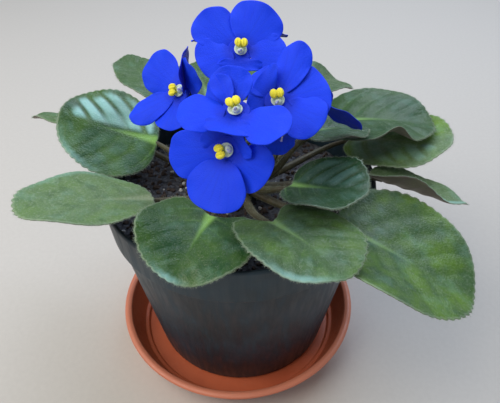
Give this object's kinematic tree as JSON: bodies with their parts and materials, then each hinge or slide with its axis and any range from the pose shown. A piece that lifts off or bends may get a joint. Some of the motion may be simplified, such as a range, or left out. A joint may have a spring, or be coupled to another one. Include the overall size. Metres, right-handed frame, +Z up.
{
  "type": "potted african violet",
  "caption": "Potted african violet: a rosette of round velvety leaves under a bunch of deep blue blooms with yellow anthers, in a black nursery pot on a terracotta-coloured saucer.",
  "frame": {"origin": "middle of the saucer's flat underside", "axes": "+Z up, -Y towards the front of the plant, +X to its right as seen from the front"},
  "size_m": [0.1944, 0.1665, 0.1689],
  "materials": {
    "terracotta_plastic": "moulded, satin",
    "black_plastic": "thermoformed, satin",
    "potting_soil": "loose crumbs, matte",
    "crown_tissue": "rough, matte",
    "leaf_tissue": "velvety, finely haired",
    "stalk_tissue": "finely haired",
    "petal_tissue": "velvety",
    "anther_tissue": "powdery",
    "pistil_tissue": "waxy"
  },
  "bodies": {
    "root": {"saucer": "terracotta_plastic", "pot": "black_plastic", "soil": "potting_soil", "crown": "crown_tissue", "leaf_front_left": "leaf_tissue", "leaf_front_right": "leaf_tissue", "leaf_right_low": "leaf_tissue", "leaf_right_young": "leaf_tissue", "leaf_left_long": "leaf_tissue", "leaf_left_round": "leaf_tissue", "leaf_back_right": "leaf_tissue", "leaf_back_right_low": "leaf_tissue", "leaf_right_inner": "leaf_tissue", "leaf_right_edge": "leaf_tissue", "leaf_far_left": "leaf_tissue", "leaf_back_left": "leaf_tissue", "leaf_back_right_high": "leaf_tissue", "leaf_back": "leaf_tissue", "leaf_back_inner": "leaf_tissue", "stalk_front": "stalk_tissue", "stalk_top": "stalk_tissue", "stalk_left": "stalk_tissue", "stalk_right": "stalk_tissue", "bloom_front": "petal_tissue", "anthers_front": "anther_tissue", "pistil_front": "pistil_tissue", "bloom_middle": "petal_tissue", "anthers_middle": "anther_tissue", "pistil_middle": "pistil_tissue", "bloom_right": "petal_tissue", "anthers_right": "anther_tissue", "pistil_right": "pistil_tissue", "bloom_top": "petal_tissue", "anthers_top": "anther_tissue", "pistil_top": "pistil_tissue", "bloom_left": "petal_tissue", "anthers_left": "anther_tissue", "pistil_left": "pistil_tissue", "bloom_low": "petal_tissue", "anthers_low": "anther_tissue", "pistil_low": "pistil_tissue", "bloom_far_right": "petal_tissue", "anthers_far_right": "anther_tissue", "pistil_far_right": "pistil_tissue", "bloom_back": "petal_tissue", "anthers_back": "anther_tissue", "pistil_back": "pistil_tissue"}
  },
  "joints": []
}
